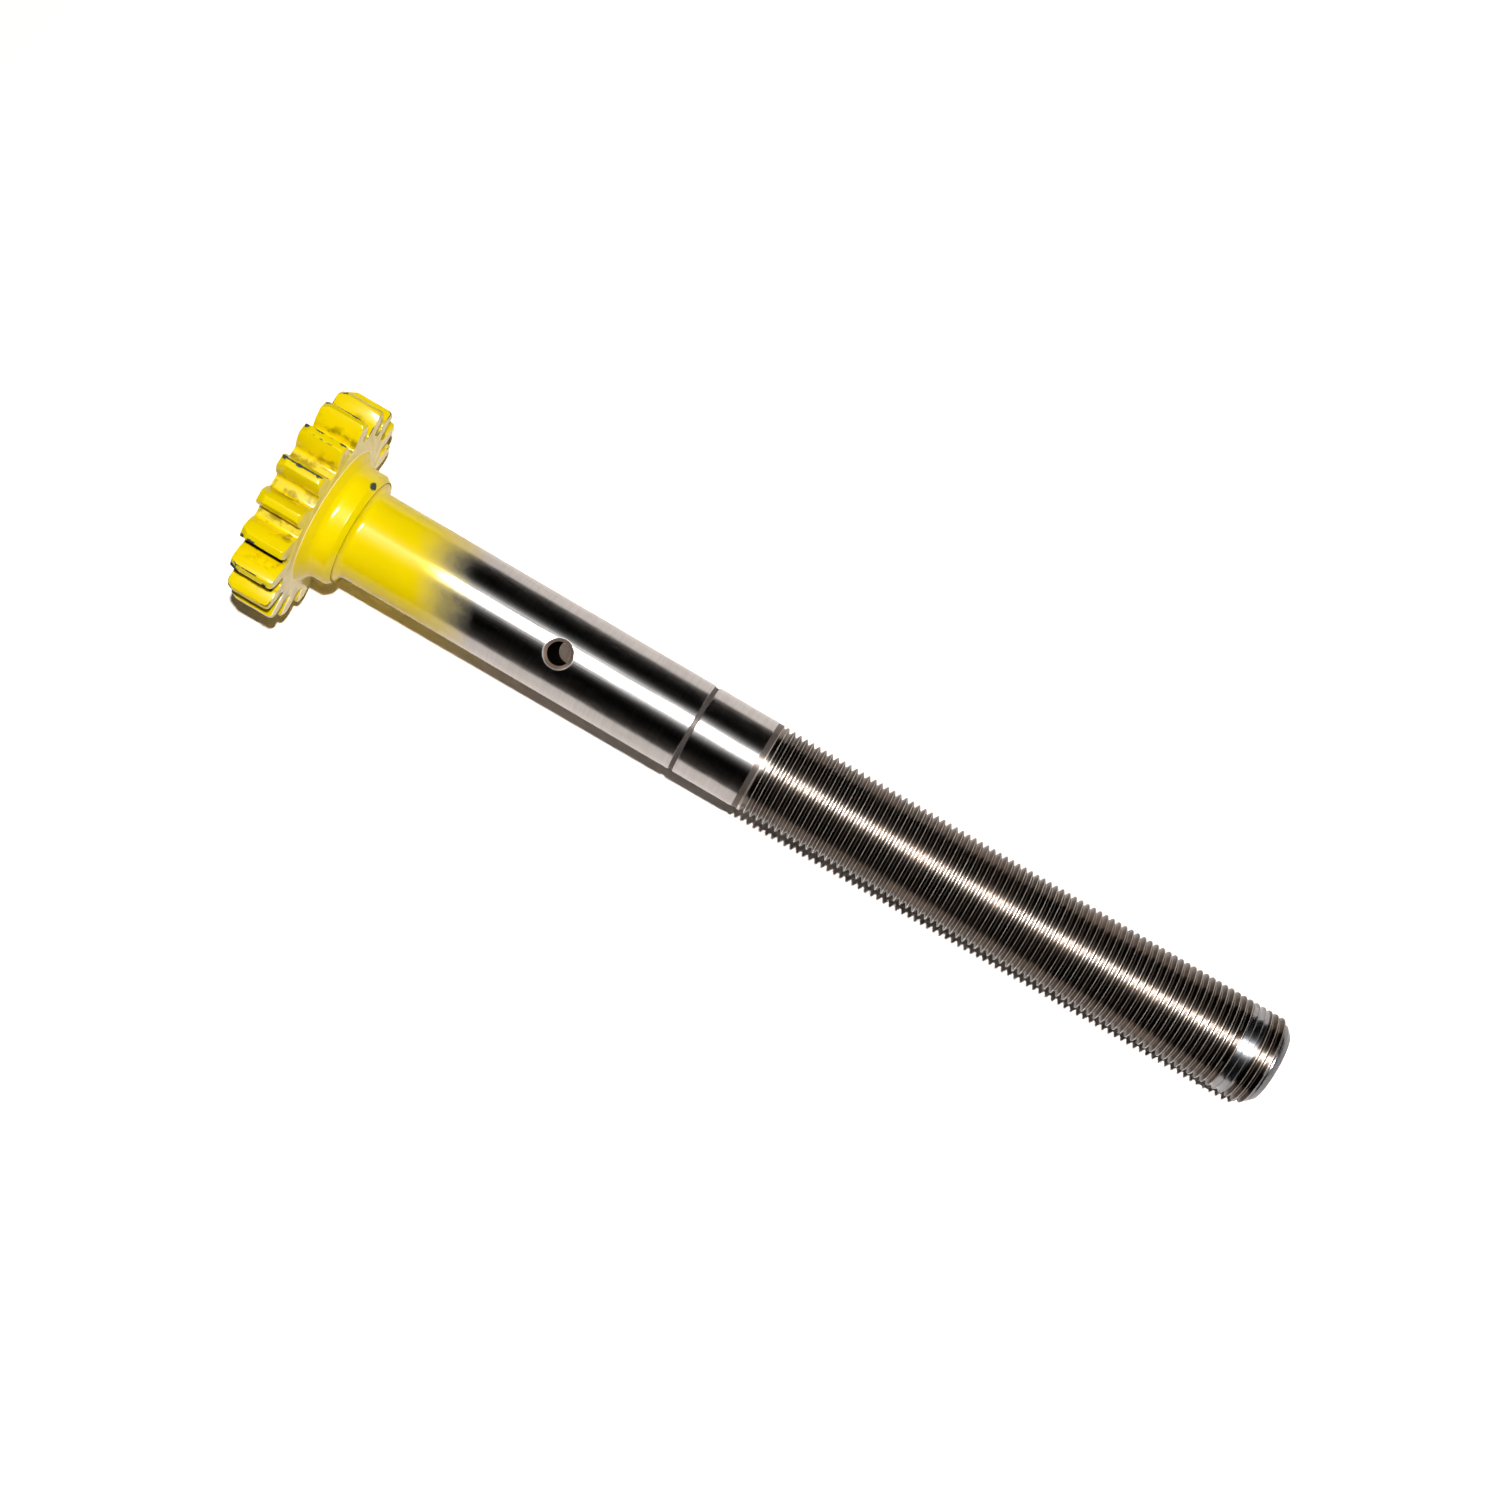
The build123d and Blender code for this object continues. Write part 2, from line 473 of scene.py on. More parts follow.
def soften_gear_edges(body, gear):
    """Round the gear's sharp edges a little, as paint does, and mark them for wear and for a
    painted highlight.
    """
    limit = gear.face_width + 0.02 * MM
    inner = pitch_radius(gear) * 0.78

    def is_sharp(edge):
        if len(edge.link_faces) != 2:
            return False
        ends = [vertex.co for vertex in edge.verts]
        if any(end.x > limit or math.hypot(end.y, end.z) < inner for end in ends):
            return False
        return edge.calc_face_angle(0) > SMOOTH_ANGLE and edge.is_convex

    select_edges(body, is_sharp)
    bpy.ops.mesh.bevel(
        offset=gear.soft_edge, offset_type="OFFSET", segments=3, profile=0.5,
        affect="EDGES", clamp_overlap=False, miter_outer="ARC")
    bpy.ops.mesh.select_mode(type="FACE")
    mesh = bmesh.from_edit_mesh(body.data)
    layer = mesh.faces.layers.float.new("worn_and_highlit_edge")
    for face in mesh.faces:
        face[layer] = 1.0 if face.select else 0.0
    bmesh.update_edit_mesh(body.data)
    leave_edit()


# Cross hole


def make_hole_cutter(shank):
    """The cross hole with its flared mouths, bent to follow the round shank."""
    radius, wide = shank.diameter / 2, shank.hole_chamfer
    hole = shank.hole_diameter / 2
    past, clear = 1.0 * MM, 6.0 * MM
    profile = [
        (-radius - clear, hole + wide + past),
        (-radius - past, hole + wide + past),
        (-radius, hole + wide),
        (-radius + wide, hole),
        (radius - wide, hole),
        (radius, hole + wide),
        (radius + past, hole + wide + past),
        (radius + clear, hole + wide + past),
    ]
    cutter = turn_profile("cross_hole_cutter", profile, HOLE_STEPS)
    points = points_of(cutter)
    drop = radius - np.sqrt(radius ** 2 - points[:, 1] ** 2)
    points[:, 0] -= np.sign(points[:, 0]) * drop
    set_points(cutter, points)
    upright = Matrix.Rotation(-math.pi / 2, 4, "Y")
    lean = Matrix.Rotation(shank.hole_turn, 4, "X")
    cutter.matrix_world = Matrix.Translation((shank.hole_centre, 0, 0)) @ lean @ upright
    choose(cutter)
    bpy.ops.object.transform_apply(location=True, rotation=True, scale=True)
    return cutter


# Thread


def thread_crest_place(thread):
    """Where a crest crosses the upper side, three turns before the thread's start.

    The photograph shows the first full crest 4.6 mm past the land on its far side,
    a quarter turn before the upper side.
    """
    first_crest = thread.start + 4.56 * MM
    return first_crest + thread.pitch / 4 - 4 * thread.pitch


def filled_band(thread):
    """Where the band starts and ends in which nuts have rubbed the thread shallow."""
    return thread.end - 19.5 * MM, thread.end - 12.5 * MM


def make_thread(thread):
    """The thread: one pitch of its profile, screwed along the axis."""
    crest_x = thread_crest_place(thread)
    top, bottom = thread.diameter / 2, thread.diameter / 2 - thread.depth
    half_root = thread.root_width / 2
    half_crest = thread.pitch / 2 - half_root - thread.depth * math.tan(math.radians(30))
    start = crest_x - thread.pitch / 2 + half_root
    profile = [
        (start, bottom),
        (crest_x - half_crest, top),
        (crest_x + half_crest, top),
        (crest_x + thread.pitch / 2 - half_root, bottom),
        (start + thread.pitch, bottom),
    ]
    deselect_all()
    bpy.ops.mesh.primitive_plane_add(size=1 * MM, location=(start, 0, bottom))
    turns = bpy.context.object
    turns.name = "thread"
    edit_all("VERT")
    bpy.ops.mesh.merge(type="CENTER")
    for here, there in zip(profile, profile[1:]):
        step = (there[0] - here[0], 0, there[1] - here[1])
        bpy.ops.mesh.extrude_vertices_move(TRANSFORM_OT_translate={"value": step})
    leave_edit()
    bpy.ops.object.modifier_add(type="SCREW")
    screw = turns.modifiers[-1]
    screw.axis = "X"
    screw.angle = FULL_TURN
    screw.screw_offset = thread.pitch
    screw.iterations = math.ceil((thread.end - start) / thread.pitch) + 3
    screw.steps = RING_STEPS
    screw.render_steps = RING_STEPS
    screw.use_merge_vertices = False
    bpy.ops.object.modifier_apply(modifier=screw.name)
    recalculate_normals(turns)
    return turns


def ramp(values, low, high):
    """From 0 at low to 1 at high, straight between them."""
    return np.clip((values - low) / (high - low), 0, 1)


def shape_thread(turns, thread):
    """Let the thread run out at the land, fill it near the end and chamfer it.

    Each point knows from its place on the helix whether it lies on a root or a crest.
    """
    x, y, z = points_of(turns).T
    angle = np.arctan2(z, y)
    radius = np.hypot(y, z)
    pitch, depth = thread.pitch, thread.depth
    top = thread.diameter / 2
    half_root = thread.root_width / 2
    flank = depth * math.tan(math.radians(30))
    crest_x = thread_crest_place(thread) - pitch / 4
    from_root = (x - crest_x - pitch * angle / FULL_TURN + pitch) % pitch - pitch / 2
    side = np.sign(from_root)
    on_root = np.abs(from_root) < half_root * 1.5
    runout = ramp(x, thread.start + 0.8 * MM, thread.start + 5.2 * MM)
    fill_start, fill_end = filled_band(thread)
    fill = ramp(x, fill_start - 2 * MM, fill_start) * (1 - ramp(x, fill_end, fill_end + MM))
    filled = 1 - 0.55 * fill
    x = np.where(on_root, x + side * (1 - filled) * flank, x - side * (1 - runout) * flank)
    radius = np.where(on_root, top - depth * runout * filled, top)
    relief = thread.start + 2.5 * MM
    radius = np.minimum(radius, np.where(x < relief, top - 0.14 * MM, top))
    radius = np.minimum(radius, top - thread.chamfer + thread.end - x)
    set_points(turns, np.column_stack([x, radius * np.cos(angle), radius * np.sin(angle)]))


def trim_thread(turns, thread):
    """Cut the thread off square at both ends, with extra rings on the chamfer."""
    cuts = [(thread.start, True, False)]
    for share in (1.0, 0.85, 0.72, 0.6):
        cuts.append((thread.end - thread.chamfer * share, False, False))
    cuts.append((thread.end, False, True))
    for place, clear_before, clear_after in cuts:
        edit(turns)
        bpy.ops.mesh.select_all(action="SELECT")
        bpy.ops.mesh.bisect(
            plane_co=(place, 0, 0), plane_no=(1, 0, 0),
            clear_inner=clear_before, clear_outer=clear_after, threshold=1e-7)
        leave_edit()
    x, y, z = points_of(turns).T
    cone = thread.diameter / 2 - thread.chamfer + thread.end - x
    shrink = np.minimum(1, cone / np.hypot(y, z))
    set_points(turns, np.column_stack([x, y * shrink, z * shrink]))
    recalculate_normals(turns)


def close_free_end(turns, thread):
    """Close the free end with its flat face and its centre hole."""
    end = thread.end
    select_edges(turns, lambda edge: edge.is_boundary and edge.verts[0].co.x > end - MM)
    radius = thread.diameter / 2 - thread.chamfer
    along = end
    for depth, ring in reversed(centre_hole_profile()):
        grow = ring / radius
        draw_on((end - depth - along, 0, 0), (1, grow, grow), (end - depth, 0, 0))
        along, radius = end - depth, ring
    bpy.ops.mesh.edge_face_add()
    leave_edit()


def join_land_to_thread(body, turns, thread):
    """Open the land's end face and bridge it to the thread's first ring."""
    start = thread.start

    def is_land_end(face):
        return face.normal.x > 0.999 and face.calc_center_median().x > start - 0.01 * MM

    select_faces(body, is_land_end)
    bpy.ops.mesh.delete(type="ONLY_FACE")
    choose(body, turns)
    bpy.ops.object.join()
    select_edges(body, lambda edge: edge.is_boundary)
    bpy.ops.mesh.bridge_edge_loops()
    recalculate_normals(body)


def lay_down(body, gear, thread):
    """Turn the shaft to its rest and put it where the packed node lies."""
    tip = tip_radius(gear)
    contact = gear.face_width - gear.tip_rounding
    depth = tip * math.cos(half_gap_angle(gear, tip))
    reach = thread.end - thread.chamfer - contact
    tilt = math.atan2(depth - thread.diameter / 2, reach)
    height = contact * math.sin(tilt) + depth * math.cos(tilt)
    turned = points_of(body) @ np.array(Matrix.Rotation(tilt, 3, "Y").transposed())
    low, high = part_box(NODE)
    shift = (low.x + high.x) / 2 - (turned[:, 0].min() + turned[:, 0].max()) / 2
    place = Matrix.Translation((shift, 0, height)) @ Matrix.Rotation(tilt, 4, "Y")
    body.matrix_world = place
    choose(body)
    bpy.ops.object.transform_apply(location=True, rotation=True, scale=True)
    return shift, height, tilt


def mark_thread_flats(body, thread):
    """Mark the crests and roots of the thread, which are brighter than its flanks."""
    mesh = body.data
    marks = mesh.attributes.new("thread_flat", "FLOAT", "FACE")
    for face in mesh.polygons:
        flat = face.center.x > thread.start and abs(face.normal.x) < 0.3
        marks.data[face.index].value = float(flat)


def unroll(body):
    """A map that runs along the shaft in U and round it in V, for the grain."""
    mesh = body.data
    layer = mesh.uv_layers.new(name="grain")
    points = points_of(body)
    for face in mesh.polygons:
        flat = abs(face.normal.x) > 0.9
        middle = face.center
        home = math.atan2(middle.y, middle.z)
        for corner in face.loop_indices:
            x, y, z = points[mesh.loops[corner].vertex_index]
            turn = math.atan2(y, z)
            if turn - home > math.pi:
                turn -= FULL_TURN
            if home - turn > math.pi:
                turn += FULL_TURN
            along = -math.hypot(y, z) if flat else x
            layer.data[corner].uv = (along * 10, turn / FULL_TURN)


# Node helpers


def new_material(name):
    """A material with one Principled shader, and its node tree."""
    material = bpy.data.materials.new(name)
    material.use_nodes = True
    tree = material.node_tree
    shader = next(node for node in tree.nodes if node.type == "BSDF_PRINCIPLED")
    return material, tree, shader


def feed(tree, node, inputs):
    """Give a node's inputs their values or links."""
    for name, value in inputs.items():
        if isinstance(value, bpy.types.NodeSocket):
            tree.links.new(value, node.inputs[name])
        else:
            node.inputs[name].default_value = value


def add_node(tree, kind, inputs=None, **settings):
    """A node with its settings, and values or links for its inputs."""
    node = tree.nodes.new(kind)
    for name, value in settings.items():
        setattr(node, name, value)
    feed(tree, node, inputs or {})
    return node


def math_node(tree, operation, first, second=0.0, third=0.0, clamp=False):
    """A Math node's output."""
    return add_node(
        tree, "ShaderNodeMath", {0: first, 1: second, 2: third},
        operation=operation, use_clamp=clamp).outputs[0]


def times(tree, value, *factors):
    """The product of two or more values."""
    for factor in factors:
        value = math_node(tree, "MULTIPLY", value, factor)
    return value


def either(tree, first, second):
    """The larger one of two values."""
    return math_node(tree, "MAXIMUM", first, second)


def scale_and_add(tree, value, factor, more, clamp=False):
    """A value times a factor, and something added."""
    return math_node(tree, "MULTIPLY_ADD", value, factor, more, clamp)


def vector_math(tree, operation, first, second=(0, 0, 0)):
    """A Vector Math node's output: a value for a length or dot product."""
    node = add_node(tree, "ShaderNodeVectorMath", {0: first, 1: second}, operation=operation)
    return node.outputs["Value" if operation in ("LENGTH", "DOT_PRODUCT") else "Vector"]


def blend_colours(tree, share, first, second):
    """A colour that goes from the first to the second with the share."""
    first, second = (
        colour if isinstance(colour, bpy.types.NodeSocket) else (*colour[:3], 1)
        for colour in (first, second))
    return add_node(
        tree, "ShaderNodeMix", {0: share, 6: first, 7: second}, data_type="RGBA").outputs[2]


def blend_values(tree, share, first, second):
    """A value that goes from the first to the second with the share."""
    return add_node(
        tree, "ShaderNodeMix", {0: share, 2: first, 3: second}, data_type="FLOAT").outputs[0]


def smooth_step(tree, value, low, high):
    """From 0 at low to 1 at high with soft ends."""
    return add_node(
        tree, "ShaderNodeMapRange",
        {"Value": value, "From Min": low, "From Max": high, "To Min": 0.0, "To Max": 1.0},
        interpolation_type="SMOOTHSTEP").outputs["Result"]


def noise(tree, vector, scale, detail=2.0, roughness=0.5):
    """A noise texture's value."""
    return add_node(
        tree, "ShaderNodeTexNoise",
        {"Vector": vector, "Scale": scale, "Detail": detail, "Roughness": roughness},
    ).outputs["Fac"]


def between(tree, value, low, high, soft):
    """1 where a value lies between two others, with a soft step at both."""
    after = smooth_step(tree, value, low - soft, low + soft)
    before = smooth_step(tree, value, high + soft, high - soft)
    return times(tree, after, before)


def new_group(name, inputs, outputs):
    """An empty node group with named sockets, and its two end nodes."""
    group = bpy.data.node_groups.new(name, "ShaderNodeTree")
    for socket, kind in inputs.items():
        group.interface.new_socket(socket, in_out="INPUT", socket_type=kind)
    for socket, kind in outputs.items():
        group.interface.new_socket(socket, in_out="OUTPUT", socket_type=kind)
    start = group.nodes.new("NodeGroupInput")
    end = group.nodes.new("NodeGroupOutput")
    return group, start, end


def use_group(tree, group, inputs=None):
    """Place a node group in a tree."""
    return add_node(tree, "ShaderNodeGroup", inputs, node_tree=group)


VALUE, VECTOR = "NodeSocketFloat", "NodeSocketVector"


def shaft_space_group():
    """Place along the shaft, round it and out from its axis, from a local point."""
    group, start, end = new_group(
        "Shaft space", {"Point": VECTOR},
        {"Along": VALUE, "Angle": VALUE, "Radius": VALUE, "Round": VECTOR})
    parts = add_node(group, "ShaderNodeSeparateXYZ", {0: start.outputs["Point"]})
    x, y, z = parts.outputs
    angle = math_node(group, "ARCTAN2", y, z)
    flat = add_node(group, "ShaderNodeCombineXYZ", {1: y, 2: z}).outputs[0]
    radius = vector_math(group, "LENGTH", flat)
    spread = add_node(group, "ShaderNodeSeparateXYZ", {0: vector_math(group, "NORMALIZE", flat)})
    around = add_node(
        group, "ShaderNodeCombineXYZ",
        {0: x, 1: spread.outputs[1], 2: spread.outputs[2]}).outputs[0]
    for socket, value in zip(("Along", "Angle", "Radius", "Round"), (x, angle, radius, around)):
        group.links.new(value, end.inputs[socket])
    return group


def fine_lines_group():
    """Fine lines that run round the shaft, as turning and grinding leave them."""
    group, start, end = new_group(
        "Fine lines", {"Round": VECTOR, "Fineness": VALUE}, {"Lines": VALUE})
    stretch = vector_math(group, "MULTIPLY", start.outputs["Round"], (1.0, 0.0009, 0.0009))
    lines = noise(group, stretch, start.outputs["Fineness"], 4.0, 0.65)
    group.links.new(lines, end.inputs["Lines"])
    return group


def chip_group():
    """An irregular chip: 1 inside it and 0 outside."""
    group, start, end = new_group(
        "Chip", {"Point": VECTOR, "Centre": VECTOR, "Size": VECTOR, "Ragged": VALUE},
        {"Mask": VALUE})
    away = vector_math(group, "SUBTRACT", start.outputs["Point"], start.outputs["Centre"])
    distance = vector_math(
        group, "LENGTH", vector_math(group, "DIVIDE", away, start.outputs["Size"]))
    edge = scale_and_add(group, start.outputs["Ragged"], 1.6, 0.2)
    mask = smooth_step(group, math_node(group, "SUBTRACT", edge, distance), -0.05, 0.12)
    group.links.new(mask, end.inputs["Mask"])
    return group


# Materials

# Colours that go with the paint and the steel, as linear shares of red, green and blue
CLOUDY_STEEL = (0.42, 0.40, 0.38)
LINED_STEEL = (0.38, 0.35, 0.32)
GROOVE_FILM = (0.13, 0.105, 0.09)
SHADED_PAINT = (0.82, 0.54, 0.001)
# Painted reflection of the lamp along the floors of the tooth gaps
GAP_FLOOR_REFLECTION = (0.60, 0.55, 0.28)
# Painted shade, in patches, low in the tooth gaps
PATCHY_GAP_SHADE = (0.22, 0.16, 0.003)
# Painted reflection of the white table on the gear's inner face
INNER_FACE_REFLECTION = (1.0, 0.92, 0.55)
# Painted shade along the collar's rim
RIM_SHADE_LINE = (0.10, 0.06, 0.005)
# Painted highlight on the rounded edges of the lower teeth
EDGE_HIGHLIGHT = (0.95, 0.91, 0.76)
# Painted shadow, near black, deep in the gaps on the gear's lower side
PAINTED_GAP_SHADOW = (0.022, 0.018, 0.010)
# Painted highlight round the cross hole's mouths
HOLE_MOUTH_HIGHLIGHT = (0.85, 0.83, 0.80)
HOLE_FLARE = (0.20, 0.14, 0.11), (0.30, 0.23, 0.19)
# Painted shade inside the cross hole's bore
HOLE_BORE_SHADE = (0.010, 0.007, 0.005)
OILY_FLANK = (0.12, 0.095, 0.08)
# Painted light on the flanks near the thread's start
START_FLANK_PAINTED_LIGHT = (0.34, 0.31, 0.29)
SHADED_FLANK = (0.006, 0.005, 0.004)
OILY_CREST = (0.40, 0.31, 0.25)
STREAKED_CREST = (0.16, 0.12, 0.09)
LIT_CREST = (0.95, 0.88, 0.8)
RUBBED_BAND = (0.42, 0.44, 0.47), (0.25, 0.25, 0.25)
END_CHAMFER = (0.27, 0.28, 0.30)
THREAD_NECK = (0.175, 0.145, 0.13)

# Chips of the paint, read off the photograph: the tooth, its upper or lower corner, the
# place along it as a share of its width, then length, width and depth in millimetres
CHIPS = (
    (4, 1, 0.55, 11.0, 0.5, 0),
    (4, 1, 0.93, 2.0, 1.0, 0),
    (3, 1, 0.45, 9.0, 0.45, 0),
    (3, 1, 0.90, 2.2, 1.2, 0),
    (2, 1, 0.55, 6.0, 0.7, 0),
    (2, 1, 0.70, 3.2, 1.2, 0),
    (2, 1, 0.07, 1.4, 1.2, 0.8),
    (1, 1, 0.06, 1.3, 1.2, 0.8),
    (1, 1, 0.36, 2.2, 0.8, 0),
    (1, 1, 0.90, 1.6, 1.2, 0),
    (0, 1, 0.50, 12.0, 0.65, 0),
    (0, 1, 0.41, 1.5, 1.3, 0),
    (0, 1, 0.07, 1.6, 1.2, 0.8),
    (0, 1, 0.87, 1.2, 1.0, 0),
    (-2, -1, 0.06, 1.3, 1.1, 0.8),
    (-2, -1, 0.28, 2.2, 1.0, 0),
    (-3, -1, 0.12, 3.2, 1.9, 0.8),
    (-3, -1, 0.84, 1.2, 1.5, 0),
    (-4, -1, 0.05, 1.5, 2.2, 1.0),
)
CORNER_TURN = math.radians(1.9)


def seen_from(tree, point, place, turn):
    """A point in the coordinates of a frame that stands at a place with a turn."""
    return add_node(
        tree, "ShaderNodeMapping", {"Vector": point, "Location": place, "Rotation": turn},
        vector_type="TEXTURE").outputs["Vector"]


def cross_hole_masks(tree, point, shank):
    """Masks of the cross hole's bore, painted as shade, of its flared mouth, and of the painted
    highlight round it.
    """
    seat = seen_from(tree, point, (shank.hole_centre, 0, 0), (shank.hole_turn, 0, 0))
    distance = vector_math(tree, "LENGTH", vector_math(tree, "MULTIPLY", seat, (1, 1, 0)))
    bore = shank.hole_diameter / 2
    mouth = bore + shank.hole_chamfer
    inside = smooth_step(tree, distance, bore + 0.1 * MM, bore + 0.02 * MM)
    flared = smooth_step(tree, distance, mouth + 0.02 * MM, mouth - 0.06 * MM)
    mouth_highlight = smooth_step(tree, distance, mouth + 0.45 * MM, mouth + 0.3 * MM)
    mouth_highlight = math_node(tree, "SUBTRACT", mouth_highlight, flared, clamp=True)
    return inside, flared, mouth_highlight


def local_point(tree, place):
    """Object coordinates turned into the shaft's own frame, in metres."""
    shift, height, tilt = place
    coordinates = add_node(tree, "ShaderNodeTexCoord").outputs["Object"]
    return seen_from(tree, coordinates, (shift, 0, height), (0, tilt, 0))


def place_on_shaft(tree, place, groups):
    """The local point, and its place along the shaft, angle, radius and place round it."""
    point = local_point(tree, place)
    space = use_group(tree, groups["space"], {"Point": point})
    return point, *(space.outputs[name] for name in ("Along", "Angle", "Radius", "Round"))


def fine_lines(tree, groups, around, fineness):
    """The value of fine lines round the shaft."""
    lines = use_group(tree, groups["lines"], {"Round": around, "Fineness": fineness})
    return lines.outputs["Lines"]


def face_mark(tree, name):
    """A mark that faces of the mesh carry."""
    return add_node(tree, "ShaderNodeAttribute", attribute_name=name).outputs["Fac"]


def grain_tangent(tree, shader, spread):
    """Let the steel's gloss spread along the shaft, across its fine lines."""
    tangent = add_node(tree, "ShaderNodeTangent", direction_type="UV_MAP", uv_map="grain")
    feed(tree, shader, {
        "Tangent": tangent.outputs["Tangent"], "Anisotropic": spread, "Specular IOR Level": 0.0})


def chip_places(gear, shank):
    """Centres and sizes of the chips on the teeth and of the one on the collar's rim."""
    spots = []
    for number, side, share, length, across, drop in CHIPS:
        turn = (number + 0.5) * FULL_TURN / gear.teeth + side * CORNER_TURN
        spots.append((share * gear.face_width, tip_radius(gear) - drop * MM, turn, length, across))
    rim = shank.collar_end - shank.collar_chamfer[0] * 0.8
    spots.append((rim, shank.collar_diameter / 2, math.radians(47.5), 1.6, 2.4))
    return [
        ((along, radius * math.sin(turn), radius * math.cos(turn)),
         (length * MM, across * MM, across * MM))
        for along, radius, turn, length, across in spots
    ]


def paint_wear(tree, point, gear, shank):
    """All the places where the paint is off: chips, and rubbed tooth edges."""
    ragged = noise(tree, point, 1500.0, 3.0, 0.6)
    chip = chip_group()
    total = 0.0
    for centre, size in chip_places(gear, shank):
        mask = use_group(tree, chip, {
            "Point": point, "Centre": centre, "Size": size, "Ragged": ragged}).outputs["Mask"]
        total = either(tree, mask, total)
    broad = smooth_step(tree, noise(tree, point, 85.0, 3.0, 0.6), 0.56, 0.62)
    return either(tree, total, times(tree, face_mark(tree, "worn_and_highlit_edge"), broad))


def overspray(tree, point, along, angle, look):
    """How much paint there is: whole at first, then thinning out in specks."""
    early = times(tree, math_node(tree, "SINE", angle), 6.0 * MM)
    place = math_node(tree, "ADD", along, early)
    cloudy = scale_and_add(tree, noise(tree, point, 60.0, 3.0, 0.6), 14.0 * MM, -7.0 * MM)
    specks = math_node(tree, "SUBTRACT", noise(tree, point, 1600.0, 2.0, 0.6), 0.5)
    share = smooth_step(
        tree, math_node(tree, "ADD", place, cloudy), look.fade_end, look.fade_start)
    thin = times(tree, share, math_node(tree, "SUBTRACT", 1.0, share))
    return scale_and_add(tree, times(tree, specks, thin), 3.0, share, clamp=True)


def gear_painted_light(tree, point, along, angle, radius, gear):
    """Masks of painted shadow in the lower gaps, painted reflection on the gap floors and the
    inner face, and painted shade low in the gaps.
    """
    width, tip, root = gear.face_width, tip_radius(gear), root_radius(gear)
    on_gear = between(tree, along, 0.4 * MM, width - 0.1 * MM, 0.05 * MM)
    # Painted shadow: more of each gap is coloured near black, the further down the side it lies
    reach = scale_and_add(tree, angle, -12.0 * MM, tip - 19.4 * MM)
    gap_shadow = smooth_step(tree, math_node(tree, "SUBTRACT", reach, radius), 0.0, 0.3 * MM)
    lower = between(tree, angle, math.radians(-86), math.radians(-42), math.radians(1.5))
    inward = between(tree, along, 0.5 * MM, width - 2 * MM, 0.4 * MM)
    gap_shadow = times(tree, gap_shadow, lower, inward)
    # Painted reflection: a pale line along each gap floor
    floor = times(tree, smooth_step(tree, radius, root + 0.25 * MM, root + 0.05 * MM), on_gear)
    # Painted shade: darker patches low on the flanks, deep in the gaps
    low = smooth_step(tree, radius, tip - 3 * MM, tip - 7 * MM)
    patches = smooth_step(tree, noise(tree, point, 130.0, 3.0, 0.6), 0.46, 0.64)
    gap_shade = times(tree, low, patches, on_gear)
    # Painted reflection: the inner face of the gear is coloured cream
    inner = between(tree, along, width, width + 0.25 * MM, 0.05 * MM)
    inner = times(tree, inner, smooth_step(tree, radius, 0.6 * tip, 0.64 * tip))
    return gap_shadow, floor, gap_shade, inner


def collar_rim_shade_mask(tree, along, radius, shank):
    """Painted shade: the dark line where the chamfer of the collar meets its end face."""
    edge = shank.collar_diameter / 2
    rim = between(tree, radius, edge - 2.5 * MM, edge - 2.0 * MM, 0.1 * MM)
    return times(tree, rim, between(
        tree, along, shank.collar_end - 0.6 * MM, shank.collar_end + MM, 0.1 * MM))


def paint_coat(tree, along, angle, gear, shank):
    """How glossy the paint is: the middle of the flare, a dusty part, is duller."""
    on_flare = between(
        tree, along, gear.face_width + 0.4 * MM, gear.face_width + shank.flare_length, 0.2 * MM)
    turn = math_node(tree, "ABSOLUTE", angle)
    middle = smooth_step(tree, turn, math.radians(65), math.radians(45))
    return blend_values(tree, times(tree, on_flare, middle), 0.85, 0.15)


def surface_waves(tree, point, cover, wear):
    """Heights of the paint's orange peel and chips, and of the ground steel's waves."""
    peel = times(tree, noise(tree, point, 260.0, 2.0, 0.5), cover)
    peel = scale_and_add(tree, wear, -1.2, peel)
    stretched = vector_math(tree, "MULTIPLY", point, (0.3, 1, 1))
    waves = times(tree, noise(tree, stretched, 90.0, 2.0, 0.5), 5.0)
    return scale_and_add(tree, waves, math_node(tree, "SUBTRACT", 1.0, cover), peel)


